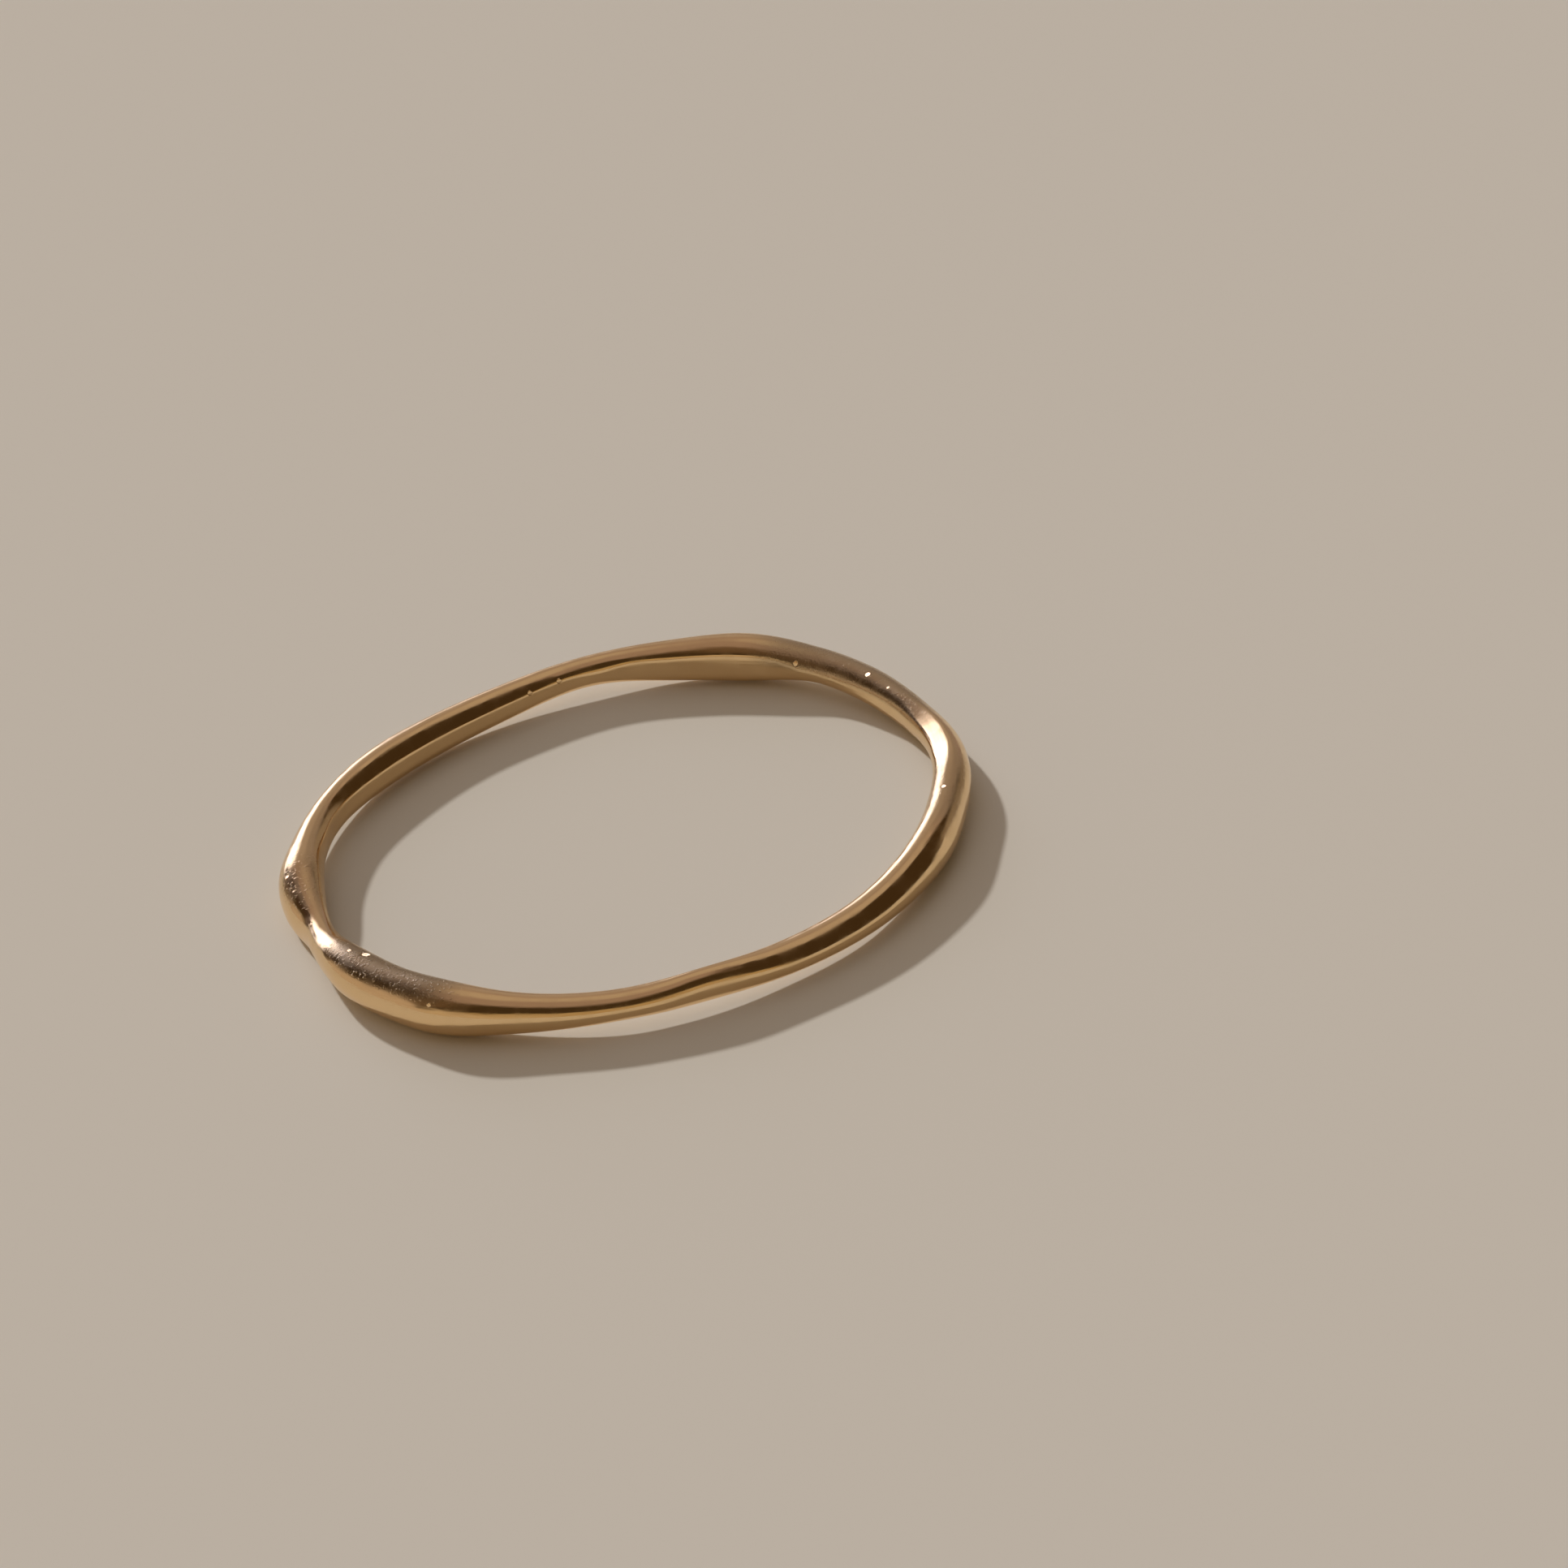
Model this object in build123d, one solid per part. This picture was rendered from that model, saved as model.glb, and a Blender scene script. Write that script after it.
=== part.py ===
from build123d import *
import bisect
import math
import os

# A thin stacking ring in yellow gold, cast in one piece from a wax wire that was
# shaped by hand: knuckles and waists follow each other all the way round it.
#
# Frame: millimetres, +Z up. The ring lies on its side on the floor, z = 0, with the
# finger hole along Z. The origin is at the middle of the ring's box, on the floor.
# Angles are in degrees, anticlockwise from +X as seen from above.

# ---- driving dimensions ----
FINGER_DIAMETER = 17.0   # the hole, across opposite inner walls: US ring size 6 1/2
BAND_THICKNESS = 1.32    # from the hole out to the middle of the band, twice over
MEAN_RADIUS = (FINGER_DIAMETER + BAND_THICKNESS) / 2

INNER_FULLNESS = 2.2     # 2 is an ellipse; more is squarer, like the worn inner wall
OUTER_FULLNESS = 2.1     # the outer half is rounder
SECTION_POINTS = 20      # points on the closed curve round one section
STATIONS = 60            # sections round the ring that the skin runs through

# ---- the band's sections, one row for each knuckle, waist or bend ----
# at      place round the ring, degrees
# out     how far the section's middle stands outside the mean circle, mm
# level   how high the section's middle is over the floor, mm
# width   size across the band, in the ring's plane, mm
# height  size along the finger, mm
# lean    turn of the section, top outwards, degrees
COLUMNS = ("at", "out", "level", "width", "height", "lean")
SECTIONS = [
    (5, -0.01, 0.66, 0.98, 0.98, 0),
    (20, -0.09, 0.52, 0.92, 1.01, 0),
    (36, -0.04, 0.61, 1.06, 0.94, 0),
    (48, 0.05, 0.68, 1.10, 0.94, 0),
    (62, 0.03, 0.69, 1.30, 1.38, 8),
    (76, -0.01, 0.68, 1.12, 1.20, 6),
    (92, 0.08, 0.72, 0.88, 0.88, 0),
    (108, -0.06, 0.62, 1.04, 0.99, 0),
    (120, -0.04, 0.58, 1.14, 1.08, 0),
    (135, 0.06, 0.62, 1.20, 1.15, 0),
    (150, 0.11, 0.69, 0.96, 1.08, 0),
    (164, 0.05, 0.77, 1.04, 1.10, -12),
    (174, 0.09, 0.71, 1.25, 1.45, -38),
    (182, 0.03, 0.58, 1.09, 1.37, -38),
    (190, -0.06, 0.54, 0.80, 1.08, -28),
    (197, -0.05, 0.60, 0.94, 0.96, 0),
    (204, 0.03, 0.72, 1.16, 1.18, 0),
    (211, 0.09, 0.73, 1.42, 1.36, 0),
    (222, 0.14, 0.72, 1.44, 1.46, 0),
    (232, 0.20, 0.73, 1.50, 1.50, 0),
    (246, 0.06, 0.68, 1.10, 1.12, 0),
    (262, 0.03, 0.70, 0.94, 0.84, 0),
    (270, -0.01, 0.70, 0.92, 0.86, 0),
    (279, -0.05, 0.71, 0.78, 0.96, 0),
    (292, -0.02, 0.63, 1.08, 0.88, 0),
    (308, 0.08, 0.62, 1.14, 0.94, 0),
    (321, 0.04, 0.62, 1.16, 1.08, 0),
    (333, -0.01, 0.62, 1.18, 1.25, 0),
    (345, -0.07, 0.63, 1.12, 1.14, 0),
    (354, -0.01, 0.68, 1.08, 1.04, 0),
]

# ---- the flats worn and hammered into it, each pressed square to the way it faces ----
# begin, end          places round the ring, degrees
# ease_in, ease_out   how far along it takes to reach its depth, and to leave it, degrees
# facing, facing_end  the way it faces where it begins and ends: 0 out, 90 up, 180 in
# depth               how far it is pressed in, mm
FLAT_SPREAD = 8          # more is narrower
FLAT_COLUMNS = ("begin", "end", "ease_in", "ease_out", "facing", "facing_end", "depth")
FLATS = [
    (50, 92, 6, 10, 180, 182, 0.09),
    (86, 168, 10, 12, 182, 180, 0.04),
    (16, 40, 8, 8, 172, 176, 0.03),
    (352, 384, 9, 12, 112, 108, 0.06),
]


def row(number):
    """One row of the table by number, counted on round the ring in either direction."""
    turns, index = divmod(number, len(SECTIONS))
    at, *sizes = SECTIONS[index]
    return at + 360 * turns, sizes


def slopes(number):
    """How fast each size changes at a row, per degree, from the rows beside it."""
    before, low = row(number - 1)
    after, high = row(number + 1)
    return [(b - a) / (after - before) for a, b in zip(low, high)]


def section_at(angle):
    """The sizes at any angle, on smooth curves through the rows of the table."""
    first = SECTIONS[0][0]
    angle = first + (angle - first) % 360
    number = bisect.bisect_right([r[0] for r in SECTIONS], angle) - 1
    start, low = row(number)
    end, high = row(number + 1)
    span = end - start
    s = (angle - start) / span
    sizes = [
        (2 * s**3 - 3 * s**2 + 1) * a
        + (s**3 - 2 * s**2 + s) * span * m
        + (3 * s**2 - 2 * s**3) * b
        + (s**3 - s**2) * span * n
        for a, b, m, n in zip(low, high, slopes(number), slopes(number + 1))
    ]
    return dict(zip(COLUMNS[1:], sizes))


def rounded(value, fullness):
    """A sine or cosine pushed outwards, so that a circle turns into a soft square."""
    return math.copysign(abs(value) ** (2 / fullness), value)


def ease(share):
    """A smooth step from 0 to 1."""
    share = min(max(share, 0), 1)
    return share * share * (3 - 2 * share)


def flats_at(angle):
    """The way each flat faces at an angle, in radians, and its depth there."""
    found = []
    for values in FLATS:
        flat = dict(zip(FLAT_COLUMNS, values))
        length = flat["end"] - flat["begin"]
        along = (angle - flat["begin"]) % 360
        if along < length:
            depth = flat["depth"] * ease(along / flat["ease_in"])
            depth *= ease((length - along) / flat["ease_out"])
            turned = (flat["facing_end"] - flat["facing"]) * along / length
            found.append((math.radians(flat["facing"] + turned), depth))
    return found


def section_points(angle):
    """Places round one section from its own middle: outwards, and upwards."""
    size = section_at(angle)
    lean = math.radians(size["lean"])
    points = []
    for k in range(SECTION_POINTS):
        around = 2 * math.pi * k / SECTION_POINTS
        fullness = OUTER_FULLNESS if math.cos(around) >= 0 else INNER_FULLNESS
        out = rounded(math.cos(around), fullness) * size["width"] / 2
        up = rounded(math.sin(around), fullness) * size["height"] / 2
        points.append((
            out * math.cos(lean) + up * math.sin(lean),
            up * math.cos(lean) - out * math.sin(lean)))
    for facing, depth in flats_at(angle):
        way_out, way_up = math.cos(facing), math.sin(facing)
        reach = math.hypot(size["width"] / 2 * way_out, size["height"] / 2 * way_up)
        pressed = []
        for out, up in points:
            towards = max((out * way_out + up * way_up) / reach, 0)
            push = depth * towards ** FLAT_SPREAD
            pressed.append((out - push * way_out, up - push * way_up))
        points = pressed
    return size, points


def section_wire(angle):
    """The closed outline of the band where it is cut at an angle."""
    size, points = section_points(angle)
    turn = math.radians(angle)
    radius = MEAN_RADIUS + size["out"]
    return Wire([Edge.make_spline([
        Vector((radius + out) * math.cos(turn), (radius + out) * math.sin(turn), size["level"] + up)
        for out, up in points
    ], periodic=True)])


def make_band():
    """The whole ring: one skin through its sections, closed on the first of them."""
    wires = [section_wire(360 * k / STATIONS) for k in range(STATIONS)]
    band = Solid.make_loft(wires + [wires[0]])
    box = band.bounding_box()
    return Pos(-box.center().X, -box.center().Y, -box.min.Z) * band


band = make_band()
band.label = "band"

os.makedirs("parts", exist_ok=True)
export_step(band, "parts/band.step")
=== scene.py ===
"""A thin stacking ring in yellow gold, lying on its side on a pale floor."""
import bisect
import math

import bmesh
import bpy
from mathutils import Matrix, Vector


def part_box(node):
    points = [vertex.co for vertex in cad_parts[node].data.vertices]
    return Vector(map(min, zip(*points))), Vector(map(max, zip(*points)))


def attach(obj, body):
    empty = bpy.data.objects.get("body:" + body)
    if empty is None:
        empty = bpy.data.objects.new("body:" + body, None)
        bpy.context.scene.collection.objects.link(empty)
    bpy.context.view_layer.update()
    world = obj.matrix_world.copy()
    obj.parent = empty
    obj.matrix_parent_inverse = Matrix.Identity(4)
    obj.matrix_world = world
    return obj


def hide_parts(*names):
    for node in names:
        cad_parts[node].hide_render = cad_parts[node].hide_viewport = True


MM = 0.001

# ---- the ring, in millimetres and degrees anticlockwise from +X ----
MEAN_RADIUS = 9.16
AROUND = 32              # points round one section of the cage
STATIONS = 120           # sections round the ring
SMOOTHING = 2            # subdivision levels over the cage
# Smoothing draws in a cage of that many points, and this much more size makes up for it.
CAGE_SWELL = 3 / (2 + math.cos(2 * math.pi / AROUND))

# at      place round the ring
# out     how far the section's middle stands outside the mean circle
# level   how high the section's middle is over the floor
# width   size across the band
# height  size along the finger
# lean    turn of the section, top outwards
COLUMNS = ("at", "out", "level", "width", "height", "lean")
SECTIONS = [
    (5, -0.01, 0.66, 0.98, 0.98, 0),
    (20, -0.09, 0.52, 0.92, 1.01, 0),
    (36, -0.04, 0.61, 1.06, 0.94, 0),
    (48, 0.05, 0.68, 1.10, 0.94, 0),
    (62, 0.03, 0.69, 1.30, 1.38, 8),
    (76, -0.01, 0.68, 1.12, 1.20, 6),
    (92, 0.08, 0.72, 0.88, 0.88, 0),
    (108, -0.06, 0.62, 1.04, 0.99, 0),
    (120, -0.04, 0.58, 1.14, 1.08, 0),
    (135, 0.06, 0.62, 1.20, 1.15, 0),
    (150, 0.11, 0.69, 0.96, 1.08, 0),
    (164, 0.05, 0.77, 1.04, 1.10, -12),
    (174, 0.09, 0.71, 1.25, 1.45, -38),
    (182, 0.03, 0.58, 1.09, 1.37, -38),
    (190, -0.06, 0.54, 0.80, 1.08, -28),
    (197, -0.05, 0.60, 0.94, 0.96, 0),
    (204, 0.03, 0.72, 1.16, 1.18, 0),
    (211, 0.09, 0.73, 1.42, 1.36, 0),
    (222, 0.14, 0.72, 1.44, 1.46, 0),
    (232, 0.20, 0.73, 1.50, 1.50, 0),
    (246, 0.06, 0.68, 1.10, 1.12, 0),
    (262, 0.03, 0.70, 0.94, 0.84, 0),
    (270, -0.01, 0.70, 0.92, 0.86, 0),
    (279, -0.05, 0.71, 0.78, 0.96, 0),
    (292, -0.02, 0.63, 1.08, 0.88, 0),
    (308, 0.08, 0.62, 1.14, 0.94, 0),
    (321, 0.04, 0.62, 1.16, 1.08, 0),
    (333, -0.01, 0.62, 1.18, 1.25, 0),
    (345, -0.07, 0.63, 1.12, 1.14, 0),
    (354, -0.01, 0.68, 1.08, 1.04, 0),
]

# The flats worn and hammered into it, each pressed square to the way it faces.
# begin, end          places round the ring
# ease_in, ease_out   how far along it takes to reach its depth, and to leave it
# facing, facing_end  the way it faces where it begins and ends: 0 out, 90 up, 180 in
# depth               how far it is pressed in, at its middle
FACET_COLUMNS = ("begin", "end", "ease_in", "ease_out", "facing", "facing_end", "depth")
FACETS = [
    (50, 92, 6, 10, 180, 182, 0.09),
    (86, 168, 10, 12, 182, 180, 0.04),
    (16, 40, 8, 8, 172, 176, 0.03),
    (352, 384, 9, 12, 112, 108, 0.06),
    (327, 340, 5, 6, 22, 22, 0.025),
]

# Where the grain of the casting is left on its knuckles.
# at           middle of the patch, round the ring
# reach        how far it goes either way along the ring
# soft         how long its ends take to die out
# from_level   height over the floor that it begins at, in millimetres
# strength     how rough and dull it is
# sparkle      how much it glitters
GRAIN_COLUMNS = ("at", "reach", "soft", "from_level", "strength", "sparkle")
GRAIN = [
    (219, 15, 10, 1.28, 1.0, 1.0),
    (36, 20, 12, 0.82, 0.8, 0.12),
    (180, 6, 8, 0.90, 0.25, 0.3),
    (347, 9, 10, 0.95, 0.3, 0.1),
]

# Beads and nicks that the mould left, each a tiny flat tipped its own way.
# at        place round the ring
# facing    place round the section there: 0 outer side, 90 top, 180 inner side
# size      how wide it is, in millimetres
# azimuth   the way the flat is tipped, anticlockwise from +X
# height    the same, above the floor
BEAD_COLUMNS = ("at", "facing", "size", "azimuth", "height")
BEADS = [
    (34, 101, 0.22, 171, 62),
    (27.5, 105, 0.12, 170, 58),
    (50.5, 150, 0.20, 270, 10),
    (97.5, 155, 0.17, 268, 12),
    (103.5, 155, 0.16, 272, 9),
    (177, 54, 0.26, 155, 61),
    (181.5, 62, 0.22, 150, 62),
    (184, 48, 0.16, 156, 60),
    (192, 60, 0.20, 152, 62),
    (209, 92, 0.18, 170, 64),
    (212.6, 108, 0.32, 171, 62),
    (232, 37, 0.15, 238, 17),
    (346, 93, 0.20, 170, 60),
]
BEAD_TOP = 0.7           # share of a bead that is flat before its edge falls away

# ---- the finish ----
# Sizes and depths are in metres. A range holds the noise values between which wear or specks
# come in.
GOLD = "#f7d7a6"
CASTING_SKIN = "#867f70"
SKIN_SHARE = 0.6         # how much of the skin is left where the grain is strongest
POLISHED = 0.12          # roughness at its best
WORN = 0.23              # and where it is handled
WEAR_SIZE = 0.5 * MM
WEAR_RANGE = (0.4, 0.65)
DIMPLE_SIZE = 0.9 * MM   # soft hollows left by the tumbler
DIMPLE_DEPTH = 0.016 * MM
# The marks of the file and buff are really about 0.02 mm apart, too fine to show, so they are
# drawn coarser.
LINE_WIDTH = 0.11 * MM
LINE_LENGTH = 5 * MM
LINE_DEPTH = 0.004 * MM
GRAIN_FADE = 0.12 * MM   # how far over and under its level the grain fades out
GRAIN_DULLNESS = 0.12    # roughness that it adds
# Real grain is about as fine, so its pits and bright specks are drawn coarser too.
GRAIN_SIZE = 0.05 * MM
GRAIN_DEPTH = 0.008 * MM
SPECK_SIZE = 0.10 * MM
SPECK_HEIGHT = 0.014 * MM
SPECK_RANGE = (0.60, 0.70)

# ---- the camera, seen from the middle of the ring ----
CAMERA_ELEVATION = 30.1
CAMERA_ROLL = 12.1
CAMERA_DISTANCE = 260 * MM
CAMERA_ASIDE = 4.22 * MM
CAMERA_ABOVE = 1.84 * MM
CAMERA_NEAREST = 10 * MM
LENS = 214.7             # millimetres, as is the sensor
SENSOR_WIDTH = 36

# ---- light ----
KEY_AZIMUTH = 113        # degrees anticlockwise from +X
KEY_HEIGHT = 28          # degrees above the floor
KEY_SPREAD = 3           # degrees across, which sets how soft the shadow's edge is
KEY_STRENGTH = 1.92
KEY_COLOUR = "#fff8f1"
FILL_HEIGHT = 80         # from overhead, so that the shadows stay open
FILL_SPREAD = 120
FILL_STRENGTH = 0.32
FILL_COLOUR = "#ffeeda"
ROOM_COLOUR = "#3f311f"
FLOOR_COLOUR = "#ebebe5"
FLOOR_SIZE = 1.2         # metres

# The soft lights, each laid over those before it. All but the last two are in degrees.
# azimuth, height   where its middle stands
# radius            how far it reaches round that
# edge              how long it takes to fade out
SOFT_LIGHT_COLUMNS = ("name", "azimuth", "height", "radius", "edge", "colour", "strength")
SOFT_LIGHTS = [
    ("dome", 74, 62, 54, 16, "#96837a", 1.0),
    ("back wall", 74, 8, 30, 16, "#8d8078", 1.0),
    ("back light", 92, 24, 14, 12, "#a1938a", 1.0),
    ("right low", 50, -40, 52, 8, "#8c7b75", 1.0),
    ("right wall", 34, 14, 20, 14, "#746a63", 1.0),
    ("front low", -110, -50, 75, 8, "#a8926f", 1.0),
    ("front left", 215, -3, 24, 8, "#b6a48c", 1.0),
    ("left wall", 166, -5, 31, 8, "#b3a190", 1.0),
    ("overhead", 68, 64, 20, 12, "#afa092", 1.0),
    ("dark side", -6, 26, 50, 4, "#3e2f1d", 1.0),
    ("right pane", 40, 4, 17, 8, "#857769", 1.0),
    ("dark left", 150, 36, 16, 8, "#3e2f1d", 1.0),
    ("left glow", 190, 42, 18, 16, "#66523f", 1.0),
    ("grey post", 127, 40, 7, 8, "#685e5e", 1.0),
    ("window", 111, 11, 12.8, 14, "#f2eeff", 2.8),
    ("dark corner", 127, 12, 7, 6, "#594c4a", 1.0),
    ("dark post", 131, 26, 8, 6, "#3e2f26", 1.0),
]


def colour(text):
    """An sRGB hex colour as linear red, green, blue and alpha."""
    parts = [int(text[i:i + 2], 16) / 255 for i in (1, 3, 5)]
    linear = [p / 12.92 if p <= 0.04045 else ((p + 0.055) / 1.055) ** 2.4 for p in parts]
    return (*linear, 1.0)


# ---- sections ----

def row(number):
    """One row of the table by number, counted on round the ring in either direction."""
    turns, index = divmod(number, len(SECTIONS))
    at, *sizes = SECTIONS[index]
    return at + 360 * turns, sizes


def slopes(number):
    """How fast each size changes at a row, per degree, from the rows beside it."""
    before, low = row(number - 1)
    after, high = row(number + 1)
    return [(b - a) / (after - before) for a, b in zip(low, high)]


def section_at(angle):
    """The sizes at any angle, on smooth curves through the rows of the table."""
    first = SECTIONS[0][0]
    angle = first + (angle - first) % 360
    number = bisect.bisect_right([r[0] for r in SECTIONS], angle) - 1
    start, low = row(number)
    end, high = row(number + 1)
    span = end - start
    s = (angle - start) / span
    sizes = [
        (2 * s**3 - 3 * s**2 + 1) * a
        + (s**3 - 2 * s**2 + s) * span * m
        + (3 * s**2 - 2 * s**3) * b
        + (s**3 - s**2) * span * n
        for a, b, m, n in zip(low, high, slopes(number), slopes(number + 1))
    ]
    return dict(zip(COLUMNS[1:], sizes))


def ease(share):
    """A smooth step from 0 to 1."""
    share = min(max(share, 0), 1)
    return share * share * (3 - 2 * share)


def facets_at(angle):
    """The way each flat faces at an angle, and its depth there."""
    found = []
    for values in FACETS:
        facet = dict(zip(FACET_COLUMNS, values))
        length = facet["end"] - facet["begin"]
        along = (angle - facet["begin"]) % 360
        if along < length:
            depth = facet["depth"] * ease(along / facet["ease_in"])
            depth *= ease((length - along) / facet["ease_out"])
            turned = facet["facing_end"] - facet["facing"]
            found.append((facet["facing"] + turned * along / length, depth))
    return found


# ---- modelling ----

def deselect_all():
    """Leaves nothing selected, so that an operator acts only on what comes next."""
    for thing in bpy.context.selected_objects:
        thing.select_set(False)


def pick(piece, wanted):
    """In edit mode, selects the points that pass a test, and says if there are any."""
    mesh = bmesh.from_edit_mesh(piece.data)
    for point in mesh.verts:
        point.select = wanted(point)
    mesh.select_flush_mode()
    bmesh.update_edit_mesh(piece.data)
    return any(point.select for point in mesh.verts)


def turn(degrees, axis):
    """Turns what is selected about an axis through the origin, by the right-hand rule."""
    bpy.ops.transform.rotate(
        value=-math.radians(degrees), orient_axis=axis, center_override=(0, 0, 0))


def at_station(angle):
    """A test for the points of the section at one angle."""
    half_step = 180 / STATIONS

    def wanted(point):
        found = math.degrees(math.atan2(point.co.y, point.co.x))
        return abs((found - angle + 180) % 360 - 180) < half_step
    return wanted


def make_band():
    """The ring: a 1 mm circle spun round the finger, each of its sections then pressed to shape."""
    deselect_all()
    bpy.ops.mesh.primitive_circle_add(
        vertices=AROUND, radius=0.5 * MM,
        location=(MEAN_RADIUS * MM, 0, 0), rotation=(math.pi / 2, 0, 0))
    band = bpy.context.object
    band.name = "gold_band"
    bpy.ops.object.transform_apply(location=True, rotation=True)
    bpy.ops.object.mode_set(mode="EDIT")
    bpy.ops.mesh.select_all(action="SELECT")
    bpy.ops.mesh.spin(
        steps=STATIONS, angle=2 * math.pi, center=(0, 0, 0), axis=(0, 0, 1),
        use_auto_merge=True)
    for number in range(STATIONS):
        angle = 360 * number / STATIONS
        press_section(band, angle, section_at(angle))
    bpy.ops.mesh.select_all(action="SELECT")
    bpy.ops.mesh.normals_make_consistent(inside=False)
    bpy.ops.object.mode_set(mode="OBJECT")
    bpy.ops.object.shade_smooth()
    smooth = band.modifiers.new("smooth", "SUBSURF")
    smooth.levels = smooth.render_levels = SMOOTHING
    bpy.ops.object.modifier_apply(modifier=smooth.name)
    return band


def press_section(band, angle, size):
    """Gives one section its size, lean and place, in the plane of X and Z, then turns it back."""
    pick(band, at_station(angle))
    turn(-angle, "Z")
    bpy.ops.transform.translate(value=(-MEAN_RADIUS * MM, 0, 0))
    bpy.ops.transform.resize(
        value=(size["width"] * CAGE_SWELL, 1, size["height"] * CAGE_SWELL),
        center_override=(0, 0, 0))
    turn(size["lean"], "Y")
    for facing, depth in facets_at(angle):
        press_flat(band, size, facing, depth)
    bpy.ops.transform.translate(
        value=((MEAN_RADIUS + size["out"]) * MM, 0, size["level"] * MM))
    turn(angle, "Z")


def press_flat(band, size, facing, depth):
    """Presses a flat into the selected section, which stands round the origin."""
    way = math.radians(facing)
    reach = math.hypot(size["width"] / 2 * math.cos(way), size["height"] / 2 * math.sin(way))
    limit = (reach - depth) * MM
    mesh = bmesh.from_edit_mesh(band.data)
    section = {point.index for point in mesh.verts if point.select}
    turn(facing, "Y")
    if pick(band, lambda point: point.index in section and point.co.x > limit):
        bpy.ops.transform.resize(value=(0, 1, 1), center_override=(limit, 0, 0))
    pick(band, lambda point: point.index in section)
    turn(-facing, "Y")


def set_down(band):
    """Moves the ring to its place in the frame, and gives back where its own middle now is."""
    corners = [Vector(c) for c in band.bound_box]
    low = Vector(min(c[i] for c in corners) for i in range(3))
    high = Vector(max(c[i] for c in corners) for i in range(3))
    frame_low, frame_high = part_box("band")
    move = (frame_low + frame_high) / 2 - (low + high) / 2
    move.z = frame_low.z - low.z
    band.location = move
    deselect_all()
    band.select_set(True)
    bpy.context.view_layer.objects.active = band
    bpy.ops.object.transform_apply(location=True)
    return move


# ---- materials ----

def add_node(tree, kind, settings):
    """Adds a node. Its settings are properties, or inputs that take a value or a link."""
    node = tree.nodes.new(kind)
    for name, value in settings.items():
        if isinstance(name, str) and name not in node.inputs:
            setattr(node, name, value)
        elif isinstance(value, bpy.types.NodeSocket):
            tree.links.new(value, node.inputs[name])
        else:
            node.inputs[name].default_value = value
    return node


def new_material(name):
    """An empty material, and the tree that its nodes go into."""
    material = bpy.data.materials.new(name)
    material.use_nodes = True
    material.node_tree.nodes.clear()
    return material, material.node_tree


def grain_patches(tree, place, column):
    """How strong the grain of the casting is, or how much it sparkles, from 0 to 1."""
    flat = add_node(tree, "ShaderNodeVectorMath", {
        "operation": "MULTIPLY", 0: place, 1: (1, 1, 0)})
    away = add_node(tree, "ShaderNodeVectorMath", {
        "operation": "NORMALIZE", 0: flat.outputs["Vector"]})
    level = add_node(tree, "ShaderNodeSeparateXYZ", {"Vector": place})
    total = 0.0
    for values in GRAIN:
        patch = dict(zip(GRAIN_COLUMNS, values))
        towards = add_node(tree, "ShaderNodeVectorMath", {
            "operation": "DOT_PRODUCT",
            0: away.outputs["Vector"], 1: direction(patch["at"], 0)})
        near = add_node(tree, "ShaderNodeMapRange", {
            "interpolation_type": "SMOOTHSTEP", "Value": towards.outputs["Value"],
            "From Min": math.cos(math.radians(patch["reach"] + patch["soft"] / 2)),
            "From Max": math.cos(math.radians(patch["reach"] - patch["soft"] / 2)),
            "To Max": patch[column]})
        high = add_node(tree, "ShaderNodeMapRange", {
            "interpolation_type": "SMOOTHSTEP", "Value": level.outputs["Z"],
            "From Min": patch["from_level"] * MM - GRAIN_FADE,
            "From Max": patch["from_level"] * MM + GRAIN_FADE})
        here = add_node(tree, "ShaderNodeMath", {
            "operation": "MULTIPLY", 0: near.outputs["Result"], 1: high.outputs["Result"]})
        most = add_node(tree, "ShaderNodeMath", {
            "operation": "MAXIMUM", 0: total, 1: here.outputs["Value"]})
        total = most.outputs["Value"]
    return total


def drawn_lines(tree, place):
    """Fine lines along the band, as a file and a buff leave them."""
    parts = add_node(tree, "ShaderNodeSeparateXYZ", {"Vector": place})
    flat = add_node(tree, "ShaderNodeVectorMath", {
        "operation": "MULTIPLY", 0: place, 1: (1, 1, 0)})
    radius = add_node(tree, "ShaderNodeVectorMath", {
        "operation": "LENGTH", 0: flat.outputs["Vector"]})
    outwards = add_node(tree, "ShaderNodeMath", {
        "operation": "MULTIPLY", 0: radius.outputs["Value"], 1: 1 / LINE_WIDTH})
    upwards = add_node(tree, "ShaderNodeMath", {
        "operation": "MULTIPLY", 0: parts.outputs["Z"], 1: 1 / LINE_WIDTH})
    along_x = add_node(tree, "ShaderNodeMath", {
        "operation": "MULTIPLY", 0: parts.outputs["X"], 1: 1 / LINE_LENGTH})
    along_y = add_node(tree, "ShaderNodeMath", {
        "operation": "MULTIPLY", 0: parts.outputs["Y"], 1: 1 / LINE_LENGTH})
    drawn = add_node(tree, "ShaderNodeCombineXYZ", {
        "X": outwards.outputs["Value"], "Y": upwards.outputs["Value"],
        "Z": along_x.outputs["Value"]})
    lines = add_node(tree, "ShaderNodeTexNoise", {
        "noise_dimensions": "4D", "Scale": 1.0, "Detail": 2.0,
        "Vector": drawn.outputs["Vector"], "W": along_y.outputs["Value"]})
    return lines.outputs["Fac"]


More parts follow.
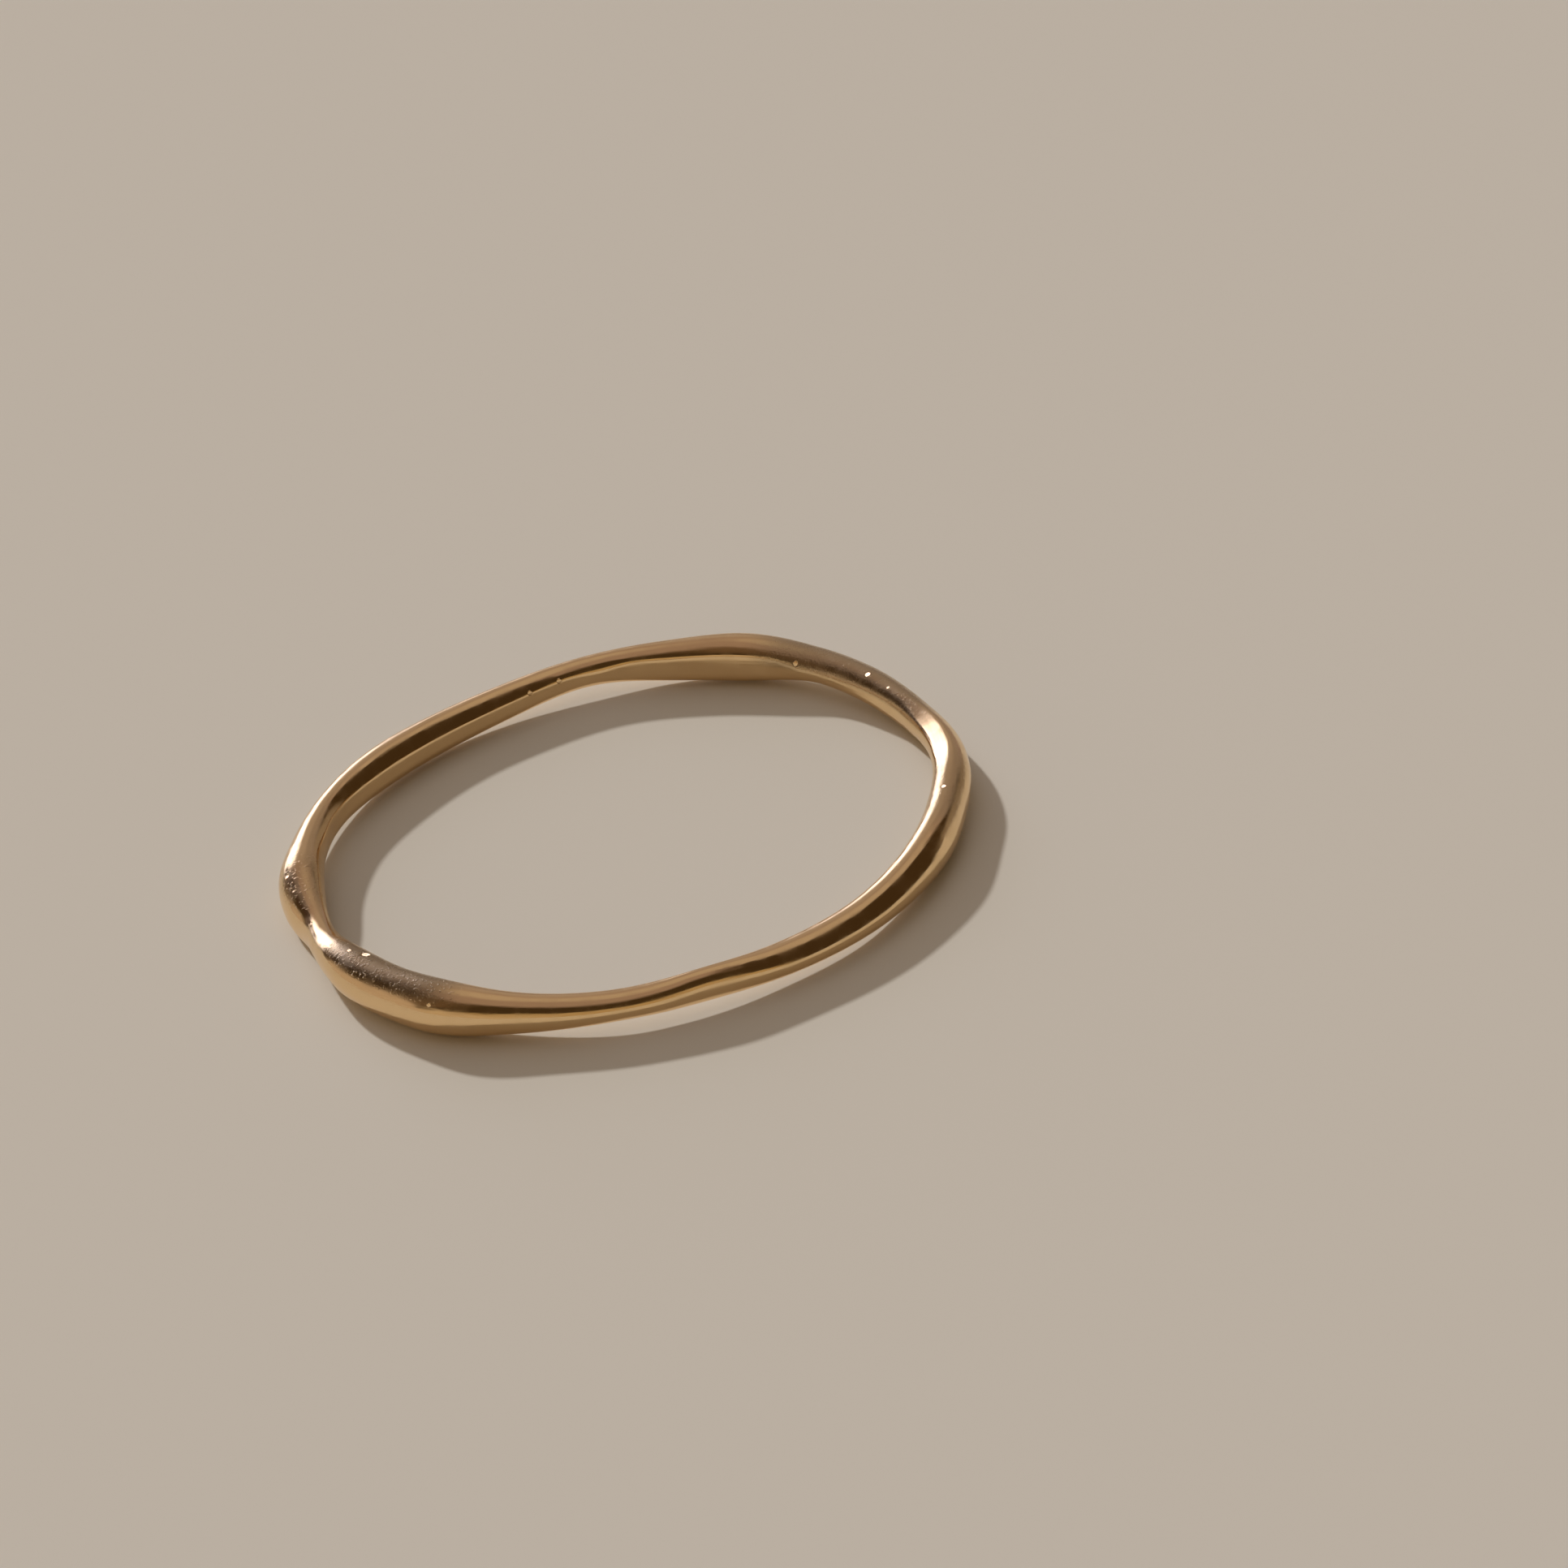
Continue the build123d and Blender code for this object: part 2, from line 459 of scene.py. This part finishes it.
def beads_on(tree, place, middle):
    """Where the beads are, from 0 to 1, and how far each stands out, in metres: its top slopes."""
    covered = height = 0.0
    for values in BEADS:
        bead = dict(zip(BEAD_COLUMNS, values))
        size = section_at(bead["at"])
        way = math.radians(bead["facing"])
        outwards = direction(bead["at"], 0)
        out = MEAN_RADIUS + size["out"] + size["width"] / 2 * math.cos(way)
        up = size["level"] + size["height"] / 2 * math.sin(way)
        centre = out * MM * outwards + Vector((0, 0, up * MM)) + middle
        skin = math.cos(way) * outwards + Vector((0, 0, math.sin(way)))
        flat = direction(bead["azimuth"], bead["height"])
        # A height that grows along this turns the skin to face the flat's way.
        steepest = skin - flat / flat.dot(skin)
        from_bead = add_node(tree, "ShaderNodeVectorMath", {
            "operation": "SUBTRACT", 0: place, 1: centre})
        slope = add_node(tree, "ShaderNodeVectorMath", {
            "operation": "DOT_PRODUCT", 0: from_bead.outputs["Vector"], 1: steepest})
        away = add_node(tree, "ShaderNodeVectorMath", {
            "operation": "LENGTH", 0: from_bead.outputs["Vector"]})
        edge = bead["size"] / 2 * MM
        inside = add_node(tree, "ShaderNodeMapRange", {
            "interpolation_type": "SMOOTHSTEP", "Value": away.outputs["Value"],
            "From Min": BEAD_TOP * edge, "From Max": edge, "To Min": 1.0, "To Max": 0.0})
        most = add_node(tree, "ShaderNodeMath", {
            "operation": "MAXIMUM", 0: covered, 1: inside.outputs["Result"]})
        rise = add_node(tree, "ShaderNodeMath", {
            "operation": "MULTIPLY_ADD",
            0: slope.outputs["Value"], 1: inside.outputs["Result"], 2: height})
        covered, height = most.outputs["Value"], rise.outputs["Value"]
    return covered, height


def yellow_gold(middle):
    """Ten-carat gold, cast and tumbled: bright, but with the casting's grain on its knuckles."""
    material, tree = new_material("yellow_gold_tumble_polished")
    place = add_node(tree, "ShaderNodeTexCoord", {}).outputs["Object"]

    # The soft dimples and fine lines make the reflections waver and streak.
    dimples = add_node(tree, "ShaderNodeTexNoise", {
        "Vector": place, "Scale": 1 / DIMPLE_SIZE, "Detail": 1.0})
    dimpled = add_node(tree, "ShaderNodeBump", {
        "Height": dimples.outputs["Fac"], "Distance": DIMPLE_DEPTH})
    lined = add_node(tree, "ShaderNodeBump", {
        "Height": drawn_lines(tree, place), "Distance": LINE_DEPTH,
        "Normal": dimpled.outputs["Normal"]})

    # The grain is finely pitted, and glitters where its specks stand out.
    grain = grain_patches(tree, place, "strength")
    pits = add_node(tree, "ShaderNodeTexNoise", {
        "Vector": place, "Scale": 1 / GRAIN_SIZE, "Detail": 2.0})
    pitting = add_node(tree, "ShaderNodeMath", {
        "operation": "MULTIPLY", 0: pits.outputs["Fac"], 1: grain})
    pitted = add_node(tree, "ShaderNodeBump", {
        "Height": pitting.outputs["Value"], "Distance": GRAIN_DEPTH,
        "Normal": lined.outputs["Normal"]})
    lumps = add_node(tree, "ShaderNodeTexNoise", {
        "Vector": place, "Scale": 1 / SPECK_SIZE, "Detail": 1.0})
    specks = add_node(tree, "ShaderNodeMapRange", {
        "interpolation_type": "SMOOTHSTEP", "Value": lumps.outputs["Fac"],
        "From Min": SPECK_RANGE[0], "From Max": SPECK_RANGE[1]})
    glitter = add_node(tree, "ShaderNodeMath", {
        "operation": "MULTIPLY",
        0: specks.outputs["Result"], 1: grain_patches(tree, place, "sparkle")})
    speckled = add_node(tree, "ShaderNodeBump", {
        "Height": glitter.outputs["Value"], "Distance": SPECK_HEIGHT,
        "Normal": pitted.outputs["Normal"]})

    # Each bead catches the light on a flat of its own.
    covered, height = beads_on(tree, place, middle)
    beaded = add_node(tree, "ShaderNodeBump", {
        "Height": height, "Distance": 1.0, "Normal": speckled.outputs["Normal"]})

    # The polish is uneven, and dull where the grain is, but the beads are rubbed bright.
    rubbed = add_node(tree, "ShaderNodeMath", {"operation": "SUBTRACT", 0: 1.0, 1: covered})
    dull = add_node(tree, "ShaderNodeMath", {
        "operation": "MULTIPLY", 0: grain, 1: rubbed.outputs["Value"]})
    wear = add_node(tree, "ShaderNodeTexNoise", {
        "Vector": place, "Scale": 1 / WEAR_SIZE, "Detail": 3.0})
    worn = add_node(tree, "ShaderNodeMapRange", {
        "interpolation_type": "SMOOTHSTEP", "Value": wear.outputs["Fac"],
        "From Min": WEAR_RANGE[0], "From Max": WEAR_RANGE[1],
        "To Min": POLISHED, "To Max": WORN})
    roughness = add_node(tree, "ShaderNodeMath", {
        "operation": "MULTIPLY_ADD",
        0: dull.outputs["Value"], 1: GRAIN_DULLNESS, 2: worn.outputs["Result"]})

    # What is left of the casting's grey skin dims the gold between the grains.
    skin = add_node(tree, "ShaderNodeMath", {
        "operation": "MULTIPLY", 0: dull.outputs["Value"], 1: SKIN_SHARE})
    metal = add_node(tree, "ShaderNodeMix", {
        "data_type": "RGBA", 0: skin.outputs["Value"], 6: colour(GOLD), 7: colour(CASTING_SKIN)})
    surface = add_node(tree, "ShaderNodeBsdfPrincipled", {
        "Metallic": 1.0, "Base Color": metal.outputs[2],
        "Roughness": roughness.outputs["Value"], "Normal": beaded.outputs["Normal"]})
    add_node(tree, "ShaderNodeOutputMaterial", {"Surface": surface.outputs["BSDF"]})
    return material


def floor_finish():
    """Uncoated paper: pale, matt and even, so that only the shadow draws on it."""
    material, tree = new_material("pale_matt_paper")
    surface = add_node(tree, "ShaderNodeBsdfPrincipled", {
        "Base Color": colour(FLOOR_COLOUR), "Roughness": 0.9, "Specular IOR Level": 0.2})
    add_node(tree, "ShaderNodeOutputMaterial", {"Surface": surface.outputs["BSDF"]})
    return material


# ---- stage ----

def make_floor():
    """The plain floor that the ring lies on."""
    deselect_all()
    bpy.ops.mesh.primitive_plane_add(size=FLOOR_SIZE, location=(0, 0, 0))
    floor = bpy.context.object
    floor.name = "floor"
    floor.data.materials.append(floor_finish())


def light_room():
    """A dark warm room, with each of the soft lights laid over what is there before it."""
    world = bpy.data.worlds.new("room")
    bpy.context.scene.world = world
    world.use_nodes = True
    tree = world.node_tree
    tree.nodes.clear()
    way = add_node(tree, "ShaderNodeTexCoord", {}).outputs["Generated"]
    room = add_node(tree, "ShaderNodeBackground", {"Color": colour(ROOM_COLOUR)})
    so_far = room.outputs["Background"]
    for values in SOFT_LIGHTS:
        light = dict(zip(SOFT_LIGHT_COLUMNS, values))
        towards = add_node(tree, "ShaderNodeVectorMath", {
            "label": light["name"], "operation": "DOT_PRODUCT",
            0: way, 1: direction(light["azimuth"], light["height"])})
        patch = add_node(tree, "ShaderNodeMapRange", {
            "interpolation_type": "SMOOTHSTEP", "Value": towards.outputs["Value"],
            "From Min": math.cos(math.radians(light["radius"] + light["edge"] / 2)),
            "From Max": math.cos(math.radians(light["radius"] - light["edge"] / 2))})
        glow = add_node(tree, "ShaderNodeBackground", {
            "Color": colour(light["colour"]), "Strength": light["strength"]})
        laid = add_node(tree, "ShaderNodeMixShader", {
            "Fac": patch.outputs["Result"], 1: so_far, 2: glow.outputs["Background"]})
        so_far = laid.outputs["Shader"]
    add_node(tree, "ShaderNodeOutputWorld", {"Surface": so_far})


def add_sun(name, azimuth, height, strength, spread, shade):
    """A lamp that lights the scene without standing as a spot in the polished metal."""
    light = bpy.data.lights.new(name, "SUN")
    light.energy = strength
    light.angle = math.radians(spread)
    light.color = colour(shade)[:3]
    lamp = bpy.data.objects.new(name, light)
    bpy.context.scene.collection.objects.link(lamp)
    lamp.visible_glossy = False
    lamp.rotation_euler = direction(azimuth, height).to_track_quat("Z", "Y").to_euler()


def direction(azimuth, height):
    """A unit vector, from degrees anticlockwise from +X and degrees above the floor."""
    azimuth, height = math.radians(azimuth), math.radians(height)
    flat = math.cos(height)
    return Vector((math.cos(azimuth) * flat, math.sin(azimuth) * flat, math.sin(height)))


def set_camera(middle):
    """A long lens that looks down at the ring from the front, rolled a little."""
    data = bpy.data.cameras.new("camera")
    data.sensor_width = SENSOR_WIDTH
    data.lens = LENS
    data.clip_start = CAMERA_NEAREST
    camera = bpy.data.objects.new("camera", data)
    bpy.context.scene.collection.objects.link(camera)
    elevation, roll = math.radians(CAMERA_ELEVATION), math.radians(CAMERA_ROLL)
    back = Vector((0, -math.cos(elevation), math.sin(elevation)))
    level = Vector((1, 0, 0))
    steep = back.cross(level)
    right = math.cos(roll) * level - math.sin(roll) * steep
    up = math.sin(roll) * level + math.cos(roll) * steep
    camera.location = middle + CAMERA_DISTANCE * back + CAMERA_ASIDE * right + CAMERA_ABOVE * up
    turned = Matrix((right, up, back)).transposed()
    camera.rotation_euler = turned.to_euler()
    bpy.context.scene.camera = camera


# ---- the scene ----

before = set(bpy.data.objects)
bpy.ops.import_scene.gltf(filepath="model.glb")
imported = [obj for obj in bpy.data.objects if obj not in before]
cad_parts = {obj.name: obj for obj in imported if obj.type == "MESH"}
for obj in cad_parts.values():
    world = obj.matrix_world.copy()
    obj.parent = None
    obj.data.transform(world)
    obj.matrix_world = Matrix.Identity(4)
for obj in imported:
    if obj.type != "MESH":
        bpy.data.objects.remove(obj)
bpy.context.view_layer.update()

band = make_band()
middle = set_down(band)
band.data.materials.clear()
band.data.materials.append(yellow_gold(middle))
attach(band, "root")
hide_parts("band")

make_floor()
light_room()
add_sun("key", KEY_AZIMUTH, KEY_HEIGHT, KEY_STRENGTH, KEY_SPREAD, KEY_COLOUR)
add_sun("fill", KEY_AZIMUTH, FILL_HEIGHT, FILL_STRENGTH, FILL_SPREAD, FILL_COLOUR)
set_camera(middle)
bpy.context.scene.view_settings.view_transform = "Standard"
